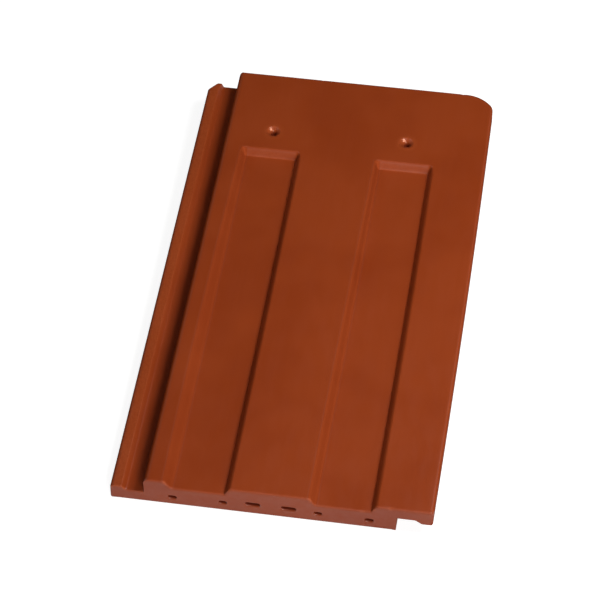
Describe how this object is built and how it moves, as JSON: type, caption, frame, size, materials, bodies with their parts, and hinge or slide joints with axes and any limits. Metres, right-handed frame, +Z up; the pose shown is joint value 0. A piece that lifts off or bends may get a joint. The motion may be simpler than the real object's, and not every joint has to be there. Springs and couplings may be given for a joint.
{
  "type": "clay roof tile",
  "caption": "Flat extruded clay roof tile with side locks, two shallow channels, core holes and hanging nibs.",
  "frame": {"origin": "on the floor under the centre of the tile's bounding box, as the tile lies unheld on a level floor on the lower edge of its foot and its two nibs", "axes": "+Y from the foot (lower end) towards the head, +X across the tile from the ledge side to the flap side, +Z up; the tile's faces lean 1.87 degrees, head end raised"},
  "size_m": [0.24, 0.4256, 0.0398],
  "materials": {
    "engobed_clay": "satin red-brown engobe"
  },
  "bodies": {
    "root": {"roof_tile": "engobed_clay"}
  },
  "joints": []
}
